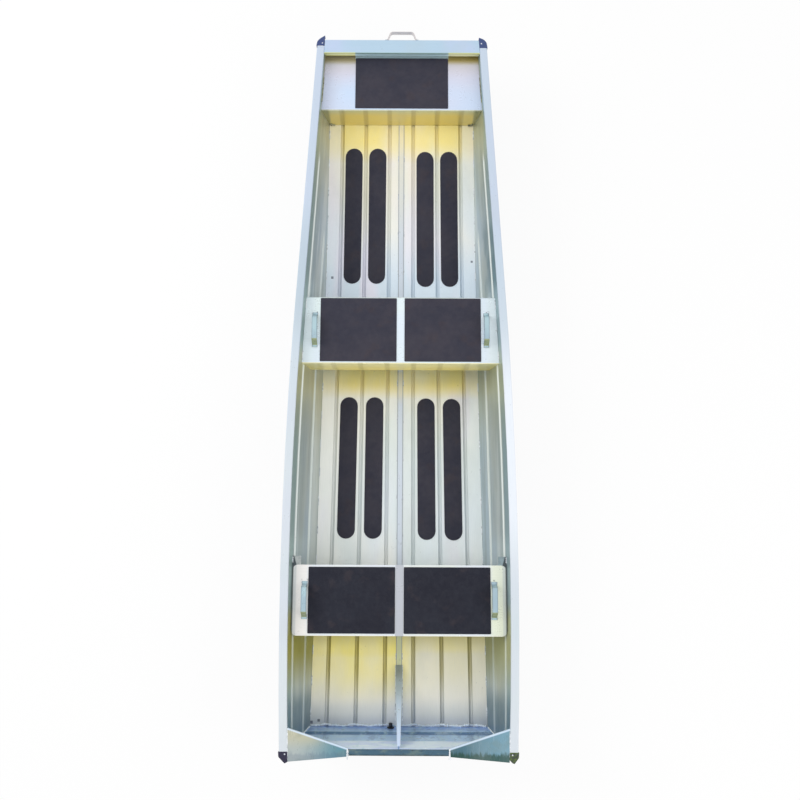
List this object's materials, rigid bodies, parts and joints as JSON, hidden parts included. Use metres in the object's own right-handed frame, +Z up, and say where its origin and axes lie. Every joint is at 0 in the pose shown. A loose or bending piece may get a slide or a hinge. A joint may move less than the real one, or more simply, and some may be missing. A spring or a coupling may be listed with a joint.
{
  "type": "jon boat",
  "caption": "Flat-bottomed jon boat of welded aluminium sheet with bow deck, two thwart seats, strap handles and dark non-slip pads.",
  "frame": {"origin": "centre of the bounding box in plan, at the lowest point of the pressed strakes", "axes": "+X to starboard, +Y towards the bow, +Z up"},
  "size_m": [1.142, 3.7023, 0.433],
  "materials": {
    "hull_sheet": "bright mill finish, faint rolling grain, scuffed",
    "gunwale_alloy": "satin extrusion",
    "handle_alloy": "satin strap",
    "transom_strip": "dull dark strip",
    "pad_foam": "matt non-slip foam",
    "black_plastic": "moulded plastic, slightly glossy"
  },
  "bodies": {
    "root": {"hull_bottom": "hull_sheet", "hull_side_left": "hull_sheet", "hull_side_right": "hull_sheet", "gunwale_left": "gunwale_alloy", "gunwale_right": "gunwale_alloy", "bow_panel": "hull_sheet", "bow_cap": "gunwale_alloy", "bow_deck": "hull_sheet", "bow_pad": "pad_foam", "corner_cap_bow_left": "black_plastic", "corner_cap_bow_right": "black_plastic", "corner_cap_stern_left": "black_plastic", "corner_cap_stern_right": "black_plastic", "transom": "hull_sheet", "transom_board": "hull_sheet", "transom_cap": "transom_strip", "transom_doubler_left": "hull_sheet", "transom_doubler_right": "hull_sheet", "transom_gusset_left": "hull_sheet", "transom_gusset_right": "hull_sheet", "transom_knee": "hull_sheet", "drain_plug": "black_plastic", "keelson_strip": "hull_sheet", "mid_seat": "hull_sheet", "mid_seat_pad_left": "pad_foam", "mid_seat_pad_right": "pad_foam", "aft_seat": "hull_sheet", "aft_seat_bracket_left": "hull_sheet", "aft_seat_bracket_right": "hull_sheet", "aft_seat_pad_left": "pad_foam", "aft_seat_pad_right": "pad_foam", "floor_pad_aft_1": "pad_foam", "floor_pad_aft_2": "pad_foam", "floor_pad_aft_3": "pad_foam", "floor_pad_aft_4": "pad_foam", "floor_pad_fore_1": "pad_foam", "floor_pad_fore_2": "pad_foam", "floor_pad_fore_3": "pad_foam", "floor_pad_fore_4": "pad_foam", "handle_bow": "handle_alloy", "handle_mid_left": "handle_alloy", "handle_mid_right": "handle_alloy", "handle_aft_left": "handle_alloy", "handle_aft_right": "handle_alloy"}
  },
  "joints": []
}
